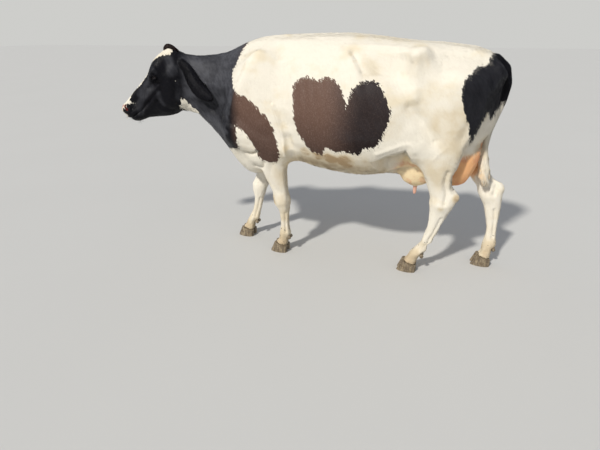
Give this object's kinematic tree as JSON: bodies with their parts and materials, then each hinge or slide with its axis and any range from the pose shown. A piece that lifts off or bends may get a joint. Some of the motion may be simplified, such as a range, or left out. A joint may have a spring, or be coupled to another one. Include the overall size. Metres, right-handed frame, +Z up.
{
  "type": "cow",
  "caption": "Life-size still model of a polled black and white dairy cow in mid stride, head turned to her left, with udder, hanging tail and cloven feet flat on the floor.",
  "frame": {"origin": "middle of the bounding box at floor level", "axes": "-X the way she faces, -Y towards her left side, +Z up"},
  "size_m": [2.6066, 0.7082, 1.4846],
  "materials": {
    "white_coat": "short matt hair",
    "black_coat": "short satin hair",
    "bare_skin": "thinly haired skin",
    "horn": "worn horn",
    "eye": "wet"
  },
  "bodies": {
    "root": {"claw_foreleg_left_outer": "horn", "dewclaw_foreleg_left_outer": "horn", "claw_foreleg_left_inner": "horn", "dewclaw_foreleg_left_inner": "horn", "foreleg_left": "white_coat", "claw_foreleg_right_inner": "horn", "dewclaw_foreleg_right_inner": "horn", "claw_foreleg_right_outer": "horn", "dewclaw_foreleg_right_outer": "horn", "foreleg_right": "white_coat", "claw_hindleg_left_outer": "horn", "dewclaw_hindleg_left_outer": "horn", "claw_hindleg_left_inner": "horn", "dewclaw_hindleg_left_inner": "horn", "hindleg_left": "white_coat", "claw_hindleg_right_inner": "horn", "dewclaw_hindleg_right_inner": "horn", "claw_hindleg_right_outer": "horn", "dewclaw_hindleg_right_outer": "horn", "hindleg_right": "white_coat", "eye_left": "eye", "ear_left": "black_coat", "eye_right": "eye", "ear_right": "black_coat", "head": "black_coat", "neck": "black_coat", "poll_tuft": "black_coat", "teat_fore_left": "bare_skin", "teat_fore_right": "bare_skin", "teat_rear_left": "bare_skin", "teat_rear_right": "bare_skin", "udder": "bare_skin", "trunk": "white_coat", "tail": "black_coat", "tail_switch": "white_coat"}
  },
  "joints": []
}
